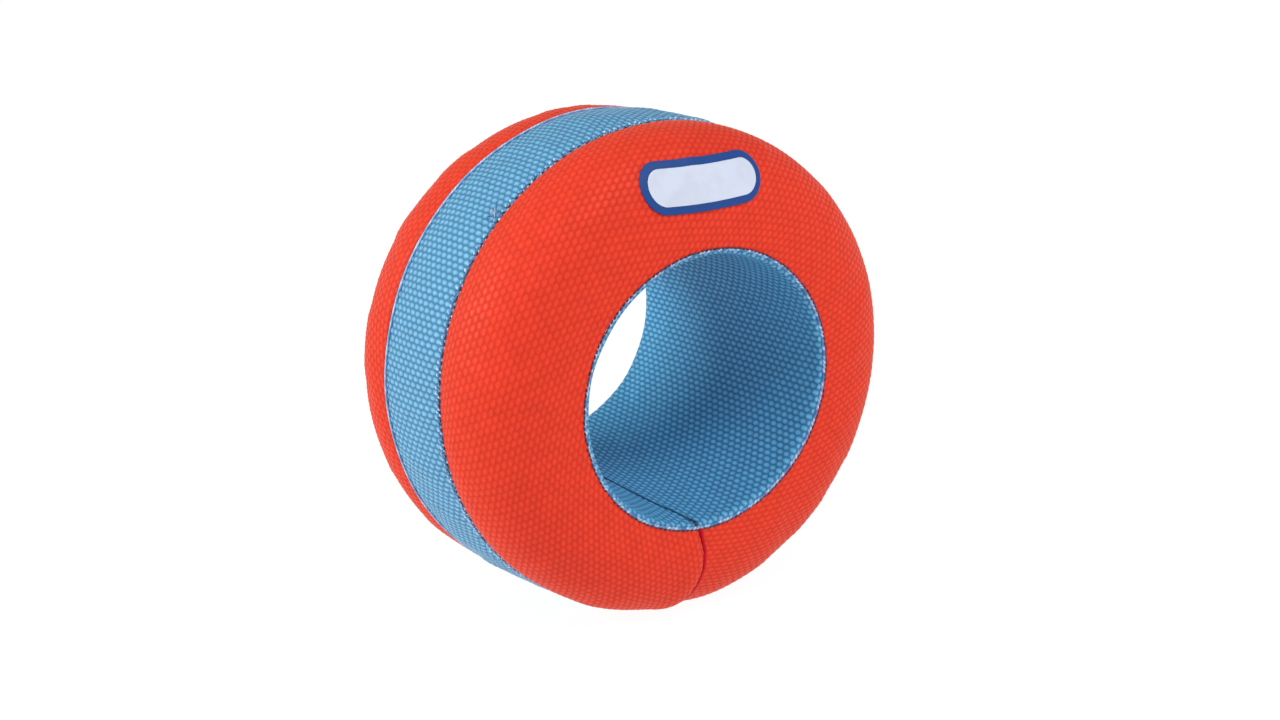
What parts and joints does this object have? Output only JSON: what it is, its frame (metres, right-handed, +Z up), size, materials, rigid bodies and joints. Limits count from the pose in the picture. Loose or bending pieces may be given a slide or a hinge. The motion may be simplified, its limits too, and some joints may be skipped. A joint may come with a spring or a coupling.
{
  "type": "padded fetch roller",
  "caption": "Soft padded ring that rolls on its edge: foam in a sewn woven cover of two side panels, a middle band and a sleeve through the hole.",
  "frame": {"origin": "on the ground, under the middle of the roller", "axes": "+Y along the roll axis towards the rear face, the front face with the label looks towards -Y, +Z up, +X to the right seen from the front"},
  "size_m": [0.1418, 0.0804, 0.1373],
  "materials": {
    "foam": "cream open-cell foam, matt",
    "orange_cloth": "orange-red heavy plain-weave nylon, slight sheen",
    "light_blue_cloth": "light-blue heavy plain-weave nylon, slight sheen",
    "blue_cloth": "blue heavy plain-weave nylon, slight sheen",
    "navy_thread": "navy bonded sewing thread",
    "pale_thread": "pale-blue bonded sewing thread",
    "label": "soft moulded patch, pale field in a deep-blue border"
  },
  "bodies": {
    "root": {"foam_core": "foam", "outer_band": "light_blue_cloth", "bore_sleeve": "blue_cloth", "front_side_panel": "orange_cloth", "rear_side_panel": "orange_cloth", "closing_seam_thread": "navy_thread", "front_band_thread": "navy_thread", "rear_band_thread": "navy_thread", "front_bore_thread": "pale_thread", "rear_bore_thread": "pale_thread", "front_label": "label"}
  },
  "joints": []
}
